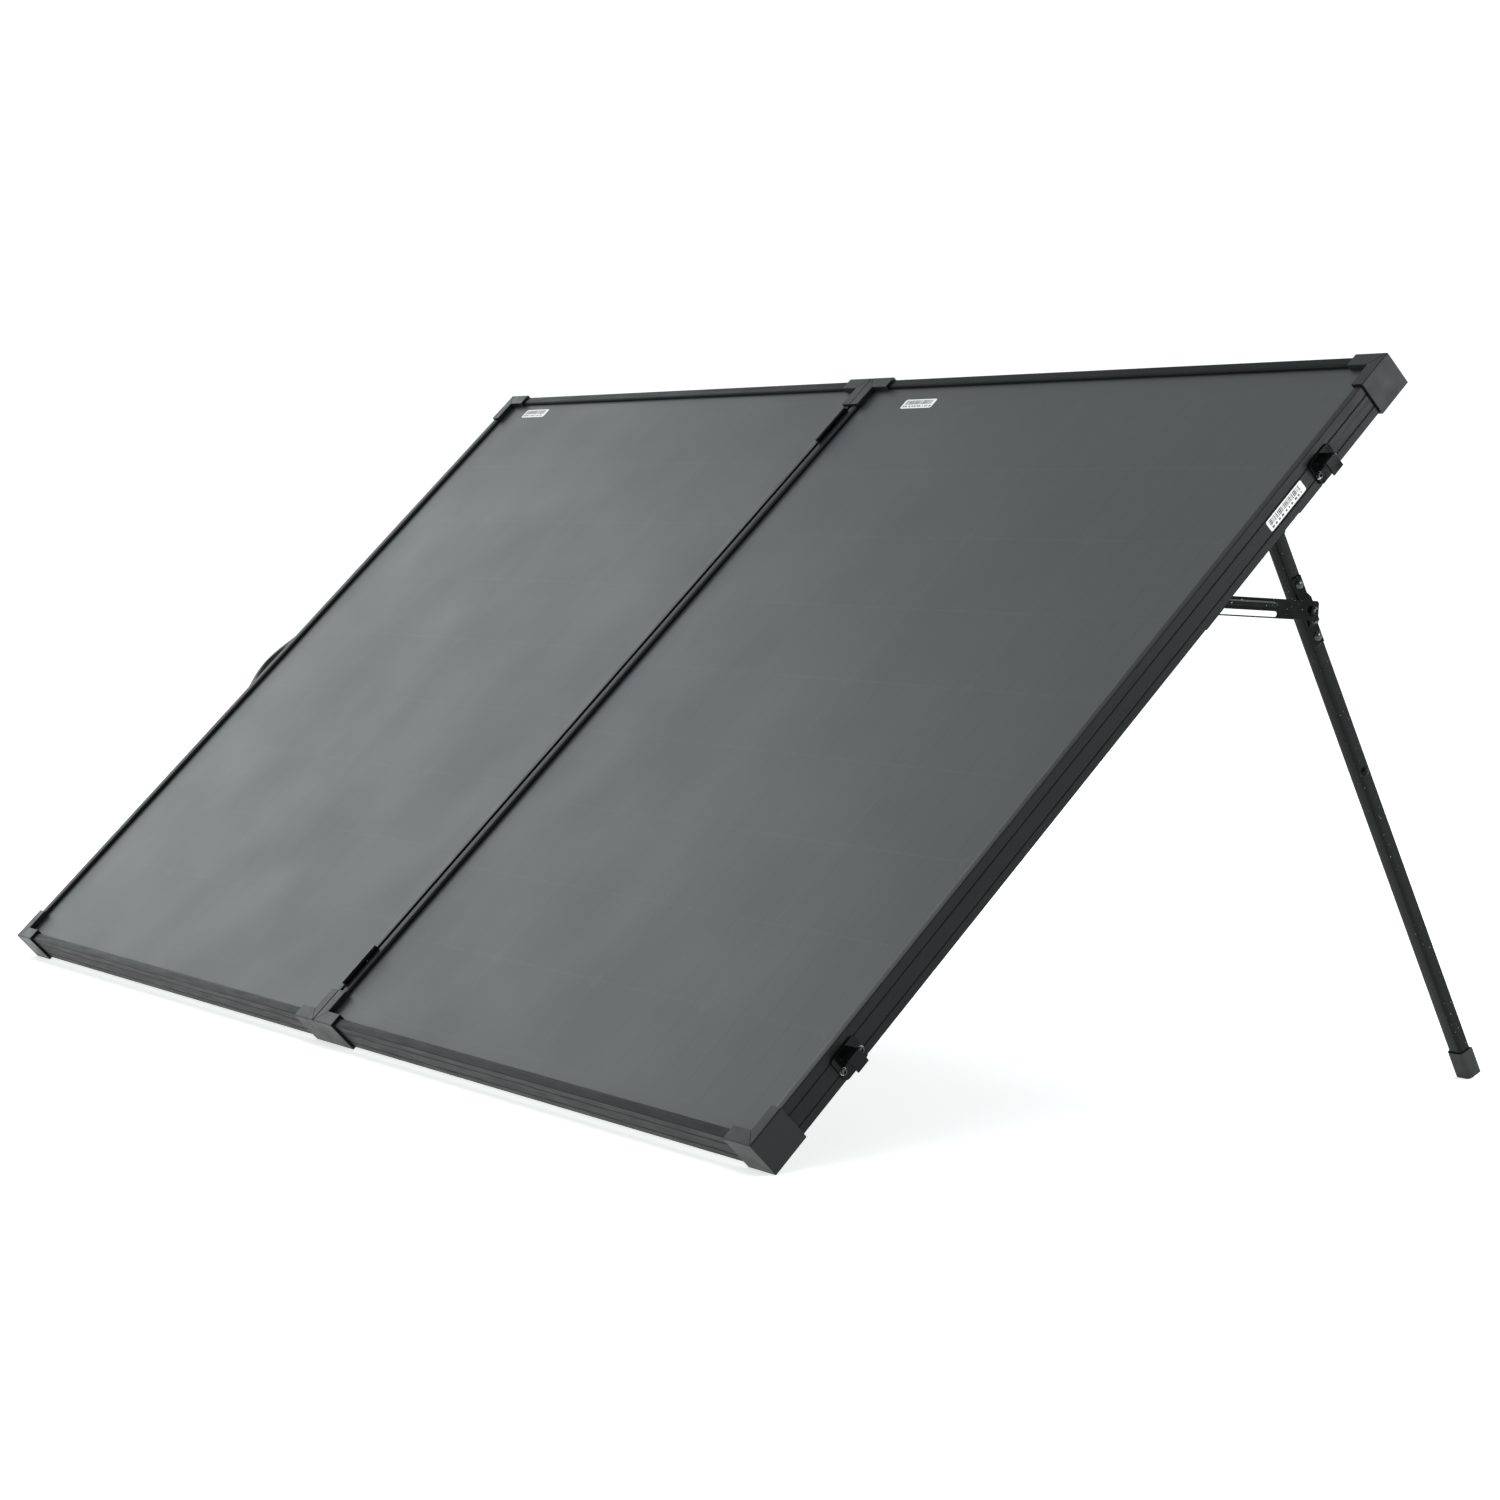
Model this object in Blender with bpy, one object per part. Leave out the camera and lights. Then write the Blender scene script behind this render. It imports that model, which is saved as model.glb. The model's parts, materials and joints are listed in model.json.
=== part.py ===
"""Folding two-panel solar suitcase kit, opened flat and standing on its two rear legs.

Panel frame: X runs along the bottom edge (0 at the fold line), Y up the panel,
Z out of the glass.  Z = 0 is the rear face of the corner guards.  The root
empty tilts this frame back, so the rear bottom edge and the rubber feet stand
on world Z = 0.  World X runs along the bottom edge, world Y to the rear.
"""
import math
import bpy
import bmesh
from mathutils import Matrix, Vector
from mathutils.geometry import tessellate_polygon

# ---- driving dimensions (metres) ----
HALF_W = 0.6783          # one half, over its corner guards
HALF_L = 0.7820          # along the panel
THICK = 0.0305           # over the corner guards
TILT = math.radians(43.9)
SEAM = 0.00015           # half of the air gap between the two guards at the fold
GAP = 0.0003             # air left between touching pieces
WALL = 0.0020            # corner guards stand this far proud of the rails
RAIL_BACK = 0.0020
RAIL_FRONT = THICK - WALL
LIP = 0.0106             # inner edge of the front lip, from the guard plane
GLASS_Z = 0.0252         # front face of the glass
GLASS_T = 0.0032
SHEET_Z = 0.0217
SHEET_T = 0.0006
GUARD_LEG = 0.0345
GUARD_FACE = 0.0125
FLANGE = 0.0160          # inner edge of the rear flange, from the guard plane
AXIS_Z = THICK + 0.00025 # fold axis, just above the guard faces
SIDE_X = SEAM + HALF_W - WALL    # outer face of the outer rail

HINGE_Y = (0.062, 0.720)
HINGE_LEN = 0.042
KEEPER_Y = (0.0950, 0.6810)

ORIGIN_SHIFT = (0.0080, -0.3314, 0.0)    # world origin under the middle of the whole kit

# leg linkage, (y, z) in the panel frame
LEG_PIVOT = (0.6563, 0.0012)
LEG_ANGLE = math.radians(71.97)      # between the opened leg and the panel
PIVOT_OFF = 0.0118                   # leg centre line in front of its pivot
STAY_AT = 0.0882                     # stay pivot, down the leg
STAY_ANGLE = math.radians(132.6)     # direction of the opened stay
SLOT_OFF = 0.0042
SLOT_NEAR = 0.0343
SLOT_FAR = 0.1254
CLAMP_AT = 0.1231
LEG_X = (0.6255, 0.6400)
LEG_D = 0.0100
STAY_X = (0.6454, 0.6470)

scene_objects = list(bpy.data.objects)
for old in scene_objects:
    bpy.data.objects.remove(old, do_unlink=True)


# ---- materials ----
def material(name, rgb, rough, metal=0.0):
    mat = bpy.data.materials.new(name)
    mat.use_nodes = True
    shader = mat.node_tree.nodes["Principled BSDF"]
    shader.inputs["Base Color"].default_value = (*rgb, 1.0)
    shader.inputs["Roughness"].default_value = rough
    shader.inputs["Metallic"].default_value = metal
    return mat


ALU = material("black_anodised_aluminium", (0.012, 0.013, 0.014), 0.35, 0.6)
PLASTIC = material("dark_grey_plastic", (0.035, 0.037, 0.038), 0.55)
GLASS = material("matt_cover_glass", (0.030, 0.036, 0.037), 0.30)
SHEET = material("cell_laminate", (0.010, 0.011, 0.014), 0.50)
STEEL = material("black_painted_steel", (0.010, 0.010, 0.011), 0.22, 0.3)
WIRE = material("zinc_plated_steel", (0.55, 0.55, 0.55), 0.30, 1.0)
RUBBER = material("black_rubber", (0.012, 0.012, 0.012), 0.85)
NYLON = material("black_nylon", (0.014, 0.014, 0.014), 0.60)


# ---- body frames ----
def frame(name, parent, loc):
    empty = bpy.data.objects.new(name, None)
    bpy.context.scene.collection.objects.link(empty)
    empty.parent = parent
    empty.location = loc
    return empty


ROOT = frame("panel_frame", None, ORIGIN_SHIFT)
ROOT.rotation_euler = (TILT, 0.0, 0.0)


def add(name, bm, mat, body, origin=(0.0, 0.0, 0.0), smooth=False):
    """Closes a bmesh given in the panel frame into an object of one body."""
    bmesh.ops.remove_doubles(bm, verts=bm.verts, dist=0.00001)
    bmesh.ops.recalc_face_normals(bm, faces=bm.faces)
    bmesh.ops.translate(bm, verts=bm.verts, vec=-Vector(origin))
    for face in bm.faces:
        face.smooth = smooth
    mesh = bpy.data.meshes.new(name)
    bm.to_mesh(mesh)
    bm.free()
    mesh.materials.append(mat)
    obj = bpy.data.objects.new(name, mesh)
    bpy.context.scene.collection.objects.link(obj)
    obj.parent = body
    return obj


def boolean(base, others, operation):
    """Joins or cuts bmeshes of the panel frame and gives back one bmesh."""
    made = []
    for index, source in enumerate([base] + others):
        bmesh.ops.recalc_face_normals(source, faces=source.faces)
        mesh = bpy.data.meshes.new("tool_%d" % index)
        source.to_mesh(mesh)
        source.free()
        obj = bpy.data.objects.new("tool_%d" % index, mesh)
        bpy.context.scene.collection.objects.link(obj)
        made.append(obj)
    for tool in made[1:]:
        mod = made[0].modifiers.new("step", "BOOLEAN")
        mod.solver = "EXACT"
        mod.operation = operation
        mod.object = tool
    graph = bpy.context.evaluated_depsgraph_get()
    done = bpy.data.meshes.new_from_object(made[0].evaluated_get(graph))
    bm = bmesh.new()
    bm.from_mesh(done)
    bpy.data.meshes.remove(done)
    for obj in made:
        mesh = obj.data
        bpy.data.objects.remove(obj, do_unlink=True)
        bpy.data.meshes.remove(mesh)
    return bm


# ---- solids ----
def place(axis, h, p, q):
    """A profile point (p, q) at height h along the named axis."""
    if axis == "x":
        return Vector((h, p, q))
    if axis == "y":
        return Vector((p, h, q))
    return Vector((p, q, h))


def plate(loops, axis, low, high):
    """Flat solid: an outer loop with holes, thick from low to high."""
    bm = bmesh.new()
    flat = [[Vector((p, q, 0.0)) for p, q in loop] for loop in loops]
    points = [point for loop in flat for point in loop]
    sides = []
    for h in (low, high):
        sides.append([bm.verts.new(place(axis, h, v.x, v.y)) for v in points])
    for tri in tessellate_polygon(flat):
        for side in sides:
            bm.faces.new([side[i] for i in tri])
    start = 0
    for loop in flat:
        count = len(loop)
        for i in range(count):
            a, b = start + i, start + (i + 1) % count
            bm.faces.new([sides[0][a], sides[0][b], sides[1][b], sides[1][a]])
        start += count
    return bm


def box(x0, x1, y0, y1, z0, z1):
    return plate([[(x0, y0), (x1, y0), (x1, y1), (x0, y1)]], "z", z0, z1)


def circle(cp, cq, radius, count=20):
    step = 2.0 * math.pi / count
    return [(cp + radius * math.cos(i * step), cq + radius * math.sin(i * step))
            for i in range(count)]


def rod(axis, low, high, cp, cq, radius, count=20):
    return plate([circle(cp, cq, radius, count)], axis, low, high)


def rounded(p0, p1, q0, q1, radius, count=4):
    """Rectangle with rounded corners."""
    loop = []
    corners = ((p1 - radius, q1 - radius, 0), (p0 + radius, q1 - radius, 1),
               (p0 + radius, q0 + radius, 2), (p1 - radius, q0 + radius, 3))
    for cp, cq, turn in corners:
        for i in range(count + 1):
            angle = (turn + i / count) * math.pi / 2.0
            loop.append((cp + radius * math.cos(angle), cq + radius * math.sin(angle)))
    return loop


def sweep(rings):
    """Skin over equal rings of points, closed by a flat cap at both ends."""
    bm = bmesh.new()
    rows = [[bm.verts.new(point) for point in ring] for ring in rings]
    count = len(rows[0])
    for low, high in zip(rows, rows[1:]):
        for i in range(count):
            j = (i + 1) % count
            bm.faces.new([low[i], low[j], high[j], high[i]])
    for cap in (rows[0], rows[-1]):
        ids = {i: vert for i, vert in enumerate(cap)}
        normal = (cap[1].co - cap[0].co).cross(cap[2].co - cap[1].co)
        quat = normal.rotation_difference(Vector((0, 0, 1)))
        flat = [quat @ vert.co for vert in cap]
        loop = [Vector((v.x, v.y, 0.0)) for v in flat]
        for tri in tessellate_polygon([loop]):
            bm.faces.new([ids[i] for i in tri])
    return bm


def groove(z, half=0.0007, depth=0.0005):
    return [(WALL, z - half), (WALL + depth, z), (WALL, z + half)]


# rail section (u from the guard plane inwards, z), with the laminate pocket
RAIL = ([(WALL, RAIL_BACK)] + groove(0.0088) + groove(0.0205)
        + [(WALL, RAIL_FRONT - 0.0004), (WALL + 0.0004, RAIL_FRONT),
           (LIP - 0.0022, RAIL_FRONT), (LIP - 0.0008, RAIL_FRONT - 0.0004),
           (LIP, RAIL_FRONT - 0.0014), (LIP, GLASS_Z + GAP), (0.0041, GLASS_Z + GAP),
           (0.0041, 0.0208), (0.0120, 0.0208), (0.0120, 0.0194), (0.0037, 0.0194),
           (0.0037, 0.0036), (FLANGE, 0.0036), (FLANGE, RAIL_BACK)])

GUARD = [(0.0, 0.0), (FLANGE + 0.002, 0.0), (FLANGE + 0.002, RAIL_BACK - GAP),
         (WALL - GAP, RAIL_BACK - GAP), (WALL - GAP, RAIL_FRONT + GAP),
         (LIP + GAP, RAIL_FRONT + GAP), (LIP + GAP, GLASS_Z + GAP),
         (GUARD_FACE, GLASS_Z + GAP), (GUARD_FACE, THICK - 0.0005),
         (GUARD_FACE - 0.0005, THICK), (0.0007, THICK), (0.0, THICK - 0.0007)]


def half_x(sign, x):
    """Distance from the fold line to a panel-frame X on the named half."""
    return sign * (SEAM + x)


def rail_rings(sign, side):
    """End rings of one mitred rail."""
    rings = []
    for end in (0, 1):
        ring = []
        for u, z in RAIL:
            cut = u + GAP / 2.0
            if side in ("outer", "inner"):
                x = HALF_W - u if side == "outer" else u
                y = cut if end == 0 else HALF_L - cut
            else:
                x = cut if end == 0 else HALF_W - cut
                y = u if side == "bottom" else HALF_L - u
            ring.append((half_x(sign, x), y, z))
        rings.append(ring)
    return rings


def guard_rings(sign, outer, top):
    """Two legs of a corner guard, meeting in the mitre."""
    rings = []
    for step in (0, 1, 2):
        ring = []
        for u, z in GUARD:
            along_x = GUARD_LEG if step == 2 else u
            along_y = GUARD_LEG if step == 0 else u
            x = HALF_W - along_x if outer else along_x
            y = HALF_L - along_y if top else along_y
            ring.append((half_x(sign, x), y, z))
        rings.append(ring)
    return rings


def junction_box(sign, side, body, origin):
    """Tray with two cable glands, and its lid, behind the top of one half."""
    cx = sign * (SEAM + HALF_W / 2.0)
    cy = HALF_L - 0.085
    tray = box(cx - 0.055, cx + 0.055, cy - 0.034, cy + 0.034, 0.0072, SHEET_Z - SHEET_T - GAP)
    hollow = box(cx - 0.052, cx + 0.052, cy - 0.031, cy + 0.031, 0.0060, 0.0184)
    tray = boolean(tray, [hollow], "DIFFERENCE")
    glands = [rod("y", cy - 0.046, cy - 0.033, cx + dx, 0.0135, 0.0050, 6) for dx in (-0.03, 0.03)]
    tray = boolean(tray, glands, "UNION")
    add("junction_box_" + side, tray, NYLON, body, origin)
    lid = plate([rounded(cx - 0.056, cx + 0.056, cy - 0.035, cy + 0.035, 0.004)], "z", 0.0049, 0.0069)
    add("junction_lid_" + side, lid, NYLON, body, origin)


def half_panel(sign, side, body, origin):
    for name in ("outer", "inner", "top", "bottom"):
        add("rail_%s_%s" % (name, side), sweep(rail_rings(sign, name)), ALU, body, origin)
    for outer in (True, False):
        for top in (True, False):
            name = "guard_%s_%s_%s" % ("outer" if outer else "inner", "top" if top else "bottom", side)
            add(name, sweep(guard_rings(sign, outer, top)), PLASTIC, body, origin)
    edge = 0.0045
    x0, x1 = sorted((half_x(sign, edge), half_x(sign, HALF_W - edge)))
    glass = box(x0, x1, edge, HALF_L - edge, GLASS_Z - GLASS_T, GLASS_Z)
    add("glass_" + side, glass, GLASS, body, origin)
    sheet = box(x0, x1, edge, HALF_L - edge, SHEET_Z - SHEET_T, SHEET_Z)
    add("cell_sheet_" + side, sheet, SHEET, body, origin)
    junction_box(sign, side, body, origin)


# ---- fold hinges: leaves stand in the 4 mm gap between the inner rails ----
def hinge_leaf(sign, mid):
    """Leaf, neck and knuckles; the right leaf also carries the pin."""
    third = HINGE_LEN / 3.0
    knuckle = 0.0019
    low, high = mid - HINGE_LEN / 2.0, mid + HINGE_LEN / 2.0
    x0, x1 = sorted((sign * 0.0003, sign * 0.0018))
    leaf = box(x0, x1, low, high, 0.0080, 0.0282)
    if sign > 0:
        spans = ((low, low + third - GAP / 2.0), (high - third + GAP / 2.0, high))
        pin = [rod("y", low + 0.001, high - 0.001, 0.0, AXIS_Z, 0.0008, 12)]
        hole = None
    else:
        spans = ((low + third + GAP / 2.0, high - third - GAP / 2.0),)
        pin = []
        hole = rod("y", low, high, 0.0, AXIS_Z, 0.0011, 12)
    parts = []
    for y0, y1 in spans:
        parts.append(box(x0, x1, y0, y1, 0.0275, AXIS_Z))
        parts.append(rod("y", y0, y1, 0.0, AXIS_Z, knuckle, 16))
    leaf = boolean(leaf, parts + pin, "UNION")
    if hole:
        leaf = boolean(leaf, [hole], "DIFFERENCE")
    return leaf


# ---- catches on the right side, draw latches on the left side ----
def keeper(mid):
    """Bent strip: base plate, web and a square tab that opens to the rear."""
    def out(v):
        return SIDE_X + v
    base = plate([rounded(mid - 0.0128, mid + 0.0128, 0.0020, 0.0223, 0.0030)], "x", out(GAP), out(0.0018))
    web = box(out(0.0012), out(0.0123), mid - 0.0058, mid + 0.0058, 0.0166, 0.0182)
    tab = box(out(0.0107), out(0.0123), mid - 0.0058, mid + 0.0058, 0.0056, 0.0182)
    return boolean(base, [web, tab], "UNION")


LEVER_PIVOT = (0.0082, 0.0200)       # (out from the rail, z)
BAIL_PIVOT = (0.0050, 0.0135)
BAIL_LEN = 0.0330
WIRE_R = 0.0011
LEVER_HALF_W = 0.0060                # the bail's arms pass outside this


def side_x(v):
    return -(SIDE_X + v)


def side_profile(points):
    """Outline on the left side, from (out from the rail, z) points."""
    return [(side_x(v), z) for v, z in points]


def latch_base(mid):
    """Base plate with two ears that hold the lever's pin."""
    pv, pz = LEVER_PIVOT
    outline = rounded(mid - 0.0135, mid + 0.0135, 0.0025, 0.0262, 0.0030)
    base = plate([outline], "x", side_x(0.0018), side_x(GAP))
    ear = side_profile([(0.0012, 0.0164), (0.0105, 0.0174), (0.0112, 0.0200),
                        (0.0105, 0.0226), (0.0012, 0.0244)])
    parts = [rod("y", mid - LEVER_HALF_W, mid + LEVER_HALF_W, side_x(pv), pz, 0.0015, 14)]
    for sign in (-1, 1):
        y0, y1 = sorted((mid + sign * 0.0030, mid + sign * 0.0045))
        parts.append(plate([ear], "y", y0, y1))
    return boolean(base, parts, "UNION")


def latch_lever(mid):
    """Channel-shaped lever: a cover and two flanges outside the ears, with holes for pin and bail."""
    pv, pz = LEVER_PIVOT
    bv, bz = BAIL_PIVOT
    cover = side_profile([(0.0114, 0.0150), (0.0114, 0.0035), (0.0140, 0.0012), (0.0131, 0.0003),
                          (0.0100, 0.0028), (0.0100, 0.0150)])
    flange = side_profile([(0.0112, 0.0045), (0.0112, 0.0200), (0.0103, 0.0224), (0.0082, 0.0232),
                           (0.0061, 0.0224), (0.0050, 0.0200), (0.0026, 0.0147), (0.0024, 0.0133),
                           (0.0030, 0.0117), (0.0044, 0.0109), (0.0062, 0.0110), (0.0102, 0.0080),
                           (0.0102, 0.0045)])
    holes = [circle(side_x(pv), pz, 0.0018, 14), circle(side_x(bv), bz, 0.0014, 12)]
    lever = plate([cover], "y", mid - LEVER_HALF_W, mid + LEVER_HALF_W)
    flanges = []
    for sign in (-1, 1):
        y0, y1 = sorted((mid + sign * 0.0048, mid + sign * 0.0059))
        flanges.append(plate([flange] + holes, "y", y0, y1))
    return boolean(lever, flanges, "UNION")


def latch_bail(mid):
    """Closed wire loop through the two eyes, folded back to the rear."""
    bv, bz = BAIL_PIVOT
    end = bz - BAIL_LEN
    x = side_x(bv)
    loop = rod("y", mid - 0.0075, mid + 0.0075, x, bz, WIRE_R, 10)
    others = [rod("y", mid - 0.0075, mid + 0.0075, x, end, WIRE_R, 10)]
    for sign in (-1, 1):
        others.append(rod("z", end - WIRE_R, bz + WIRE_R, x, mid + sign * 0.0075, WIRE_R * 1.02, 10))
    return boolean(loop, others, "UNION")


def carry_handle():
    """Arched strap with two screwed feet on the left side."""
    mid = HALF_L * 0.497
    top = []
    under = []
    for i in range(25):
        t = -1.0 + i / 12.0
        rise = 0.5 + 0.5 * math.cos(math.pi * t)
        top.append((side_x(0.0048 + 0.0235 * rise ** 0.8), mid + 0.0560 * t))
    for i in range(21):
        t = 1.0 - i / 10.0
        rise = 0.5 + 0.5 * math.cos(math.pi * t)
        under.append((side_x(GAP + 0.0240 * rise ** 0.8), mid + 0.0470 * t))
    left_foot = [(side_x(GAP), mid - 0.0720), (side_x(0.0048), mid - 0.0720)]
    right_foot = [(side_x(0.0048), mid + 0.0720), (side_x(GAP), mid + 0.0720)]
    return plate([left_foot + top + right_foot + under], "z", 0.0050, 0.0240)


# ---- legs and stays ----
DOWN = (-math.cos(LEG_ANGLE), -math.sin(LEG_ANGLE))
FRONT = (-math.sin(LEG_ANGLE), math.cos(LEG_ANGLE))


def leg_point(along, across):
    """(y, z) of a point down the leg and in front of the leg pivot."""
    return (LEG_PIVOT[0] + along * DOWN[0] + across * FRONT[0],
            LEG_PIVOT[1] + along * DOWN[1] + across * FRONT[1])


STAY_PIVOT = leg_point(STAY_AT, PIVOT_OFF)
STAY_U = (math.cos(STAY_ANGLE), math.sin(STAY_ANGLE))
STAY_W = (-math.sin(STAY_ANGLE), math.cos(STAY_ANGLE))


def stay_point(along, across):
    return (STAY_PIVOT[0] + along * STAY_U[0] + across * STAY_W[0],
            STAY_PIVOT[1] + along * STAY_U[1] + across * STAY_W[1])


CLAMP = stay_point(CLAMP_AT, SLOT_OFF)


def mapped(points, where):
    return [where(p, q) for p, q in points]


def span(sign, x0, x1):
    return tuple(sorted((sign * x0, sign * x1)))


def leg_section(x0, x1, front, back, radius):
    """Cross-section (x, across): round towards the panel, square behind."""
    loop = [(x0, back), (x1, back)]
    for cx, turn in ((x1 - radius, 0), (x0 + radius, 1)):
        for i in range(6):
            angle = (turn + i / 5.0) * math.pi / 2.0
            loop.append((cx + radius * math.cos(angle), front - radius + radius * math.sin(angle)))
    return loop


def along_leg(sign, section, stations):
    rings = []
    for along in stations:
        ring = []
        for x, across in section:
            y, z = leg_point(along, across)
            ring.append((sign * x, y, z))
        rings.append(ring)
    return sweep(rings)


def foot_length():
    """Distance down the leg at which the front edge of the cap meets the floor."""
    across = PIVOT_OFF + 0.0064
    base = leg_point(0.0, across)
    rise = base[0] * math.sin(TILT) + base[1] * math.cos(TILT)
    fall = DOWN[0] * math.sin(TILT) + DOWN[1] * math.cos(TILT)
    return -rise / fall


def leg_set(sign, side, body, body_origin):
    x_in, x_out = LEG_X
    mid = PIVOT_OFF
    # bracket on the rear flange: foot, ear and the headed leg pin in one piece
    py, pz = LEG_PIVOT
    outline = rounded(py - 0.0120, py + 0.0120, -0.0055, 0.0100, 0.0040)
    ear = plate([outline], "x", *span(sign, 0.6425, 0.6441))
    x0, x1 = span(sign, 0.6426, 0.6745)
    pad = box(x0, x1, py - 0.0150, py + 0.0150, 0.0001, 0.0017)
    pin = rod("x", *span(sign, 0.6385, 0.6435), py, pz, 0.0024, 16)
    head = rod("x", *span(sign, 0.6372, 0.6400), py, pz, 0.0042, 16)
    mount = boolean(ear, [pad, pin, head], "UNION")
    add("leg_mount_" + side, mount, STEEL, body, body_origin)

    # bracket that carries the clamp end of the stay
    cy, cz = CLAMP
    outline = rounded(cy - 0.0110, cy + 0.0110, 0.0001, cz + 0.0090, 0.0030)
    ear = plate([outline], "x", *span(sign, 0.6480, 0.6496))
    x0, x1 = span(sign, 0.6481, 0.6745)
    pad = box(x0, x1, cy - 0.0120, cy + 0.0120, 0.0001, 0.0017)
    bracket = boolean(ear, [pad], "UNION")
    add("stay_bracket_" + side, bracket, STEEL, body, body_origin)

    leg_origin = (0.0, LEG_PIVOT[0], LEG_PIVOT[1])
    leg = frame("leg_pivot_" + side, body, Vector(leg_origin) - Vector(body_origin))
    end = foot_length()
    tube_end = end - 0.0030
    section = leg_section(x_in, x_out, mid + LEG_D / 2.0, mid - LEG_D / 2.0, 0.0030)
    add("leg_tube_" + side, along_leg(sign, section, (0.0050, tube_end)), ALU, leg, leg_origin)

    # rubber foot: cup around the end of the tube
    wall = 0.0014
    outer = leg_section(x_in - wall, x_out + wall, mid + 0.0064, mid - 0.0064, 0.0042)
    inner = leg_section(x_in - GAP, x_out + GAP, mid + LEG_D / 2.0 + GAP, mid - LEG_D / 2.0 - GAP, 0.0033)
    cup = along_leg(sign, outer, (end - 0.0225, end))
    bore = along_leg(sign, inner, (end - 0.0300, tube_end + GAP))
    add("foot_" + side, boolean(cup, [bore], "DIFFERENCE"), RUBBER, leg, leg_origin)

    # end plate from the leg to its pin
    outline = [(-0.0050, 0.0010), (-0.0044, -0.0030), (-0.0010, -0.0050), (0.0035, -0.0045),
               (0.0250, mid - 0.0045), (0.0265, mid), (0.0250, mid + 0.0045), (0.0060, mid + 0.0045),
               (0.0052, mid + 0.0030)]
    hole = circle(0.0, 0.0, 0.0027, 16)
    loops = [mapped(outline, leg_point), mapped(hole, leg_point)]
    add("leg_end_plate_" + side, plate(loops, "x", *span(sign, 0.6403, 0.6418)), STEEL, leg, leg_origin)

    # hat bracket with the stay rivet
    loop = [(-0.0280, 0.6403), (-0.0125, 0.6403), (-0.0090, 0.6436), (0.0090, 0.6436),
            (0.0125, 0.6403), (0.0280, 0.6403), (0.0280, 0.6418), (0.0131, 0.6418),
            (0.0096, 0.6451), (-0.0096, 0.6451), (-0.0131, 0.6418), (-0.0280, 0.6418)]
    rings = []
    for across in (mid - 0.0045, mid + 0.0042):
        ring = []
        for along, x in loop:
            y, z = leg_point(STAY_AT + along, across)
            ring.append((sign * x, y, z))
        rings.append(ring)
    sy, sz = STAY_PIVOT
    shank = rod("x", *span(sign, 0.6440, 0.6480), sy, sz, 0.0024, 16)
    head = rod("x", *span(sign, 0.6473, 0.6488), sy, sz, 0.0040, 16)
    hat = boolean(sweep(rings), [shank, head], "UNION")
    add("leg_hat_bracket_" + side, hat, STEEL, leg, leg_origin)

    # slotted stay
    stay_origin = (0.0, sy, sz)
    stay = frame("stay_pivot_" + side, leg, Vector(stay_origin) - Vector(leg_origin))
    outline = [(-0.0042, -0.0074), (-0.0056, -0.0060), (-0.0056, 0.0060), (-0.0042, 0.0074)]
    for i in range(13):
        angle = math.pi / 2.0 - i * math.pi / 12.0
        outline.append((CLAMP_AT + 0.0074 * math.cos(angle), 0.0074 * math.sin(angle)))
    slot = []
    for centre, turn in ((SLOT_FAR - 0.0021, -0.5), (SLOT_NEAR + 0.0021, 0.5)):
        for i in range(9):
            angle = (turn + i / 8.0) * math.pi
            slot.append((centre + 0.0021 * math.cos(angle), SLOT_OFF + 0.0021 * math.sin(angle)))
    eye = circle(0.0, 0.0, 0.0027, 16)
    loops = [mapped(outline, stay_point), mapped(slot, stay_point), mapped(eye, stay_point)]
    add("stay_" + side, plate(loops, "x", *span(sign, *STAY_X)), STEEL, stay, stay_origin)

    # clamp screw in the slot, with its thin knurled nut on the inner side
    clamp_origin = (0.0, cy, cz)
    clamp = frame("clamp_slide_" + side, stay, Vector(clamp_origin) - Vector(stay_origin))
    shank = rod("x", *span(sign, 0.6404, 0.6476), cy, cz, 0.0017, 14)
    washer = rod("x", *span(sign, 0.6473, 0.6477), cy, cz, 0.0032, 16)
    add("clamp_screw_" + side, boolean(shank, [washer], "UNION"), STEEL, clamp, clamp_origin)
    rim = []
    for i in range(36):
        radius = 0.0072 if i % 2 == 0 else 0.0068
        angle = i * math.pi / 18.0
        rim.append((cy + radius * math.cos(angle), cz + radius * math.sin(angle)))
    nut = plate([rim, circle(cy, cz, 0.0020, 14)], "x", *span(sign, 0.6409, 0.6449))
    add("clamp_nut_" + side, nut, STEEL, clamp, clamp_origin)


# ---- assembly ----
zero = (0.0, 0.0, 0.0)
half_panel(1, "right", ROOT, zero)
fold_origin = (0.0, 0.0, AXIS_Z)
LEFT = frame("fold_axis", ROOT, fold_origin)
half_panel(-1, "left", LEFT, fold_origin)
for spot, name in zip(HINGE_Y, ("bottom", "top")):
    add("hinge_leaf_%s_right" % name, hinge_leaf(1, spot), STEEL, ROOT, zero)
    add("hinge_leaf_%s_left" % name, hinge_leaf(-1, spot), STEEL, LEFT, fold_origin)
for spot, name in zip(KEEPER_Y, ("bottom", "top")):
    add("keeper_" + name, keeper(spot), STEEL, ROOT, zero)
    add("latch_base_" + name, latch_base(spot), STEEL, LEFT, fold_origin)
    lever_origin = (side_x(LEVER_PIVOT[0]), spot, LEVER_PIVOT[1])
    lever = frame("latch_lever_axis_" + name, LEFT, Vector(lever_origin) - Vector(fold_origin))
    add("latch_lever_" + name, latch_lever(spot), STEEL, lever, lever_origin)
    bail_origin = (side_x(BAIL_PIVOT[0]), spot, BAIL_PIVOT[1])
    bail = frame("latch_bail_axis_" + name, lever, Vector(bail_origin) - Vector(lever_origin))
    add("latch_bail_" + name, latch_bail(spot), WIRE, bail, bail_origin)
add("carry_handle", carry_handle(), NYLON, LEFT, fold_origin)
leg_set(1, "right", ROOT, zero)
leg_set(-1, "left", LEFT, fold_origin)
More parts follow.
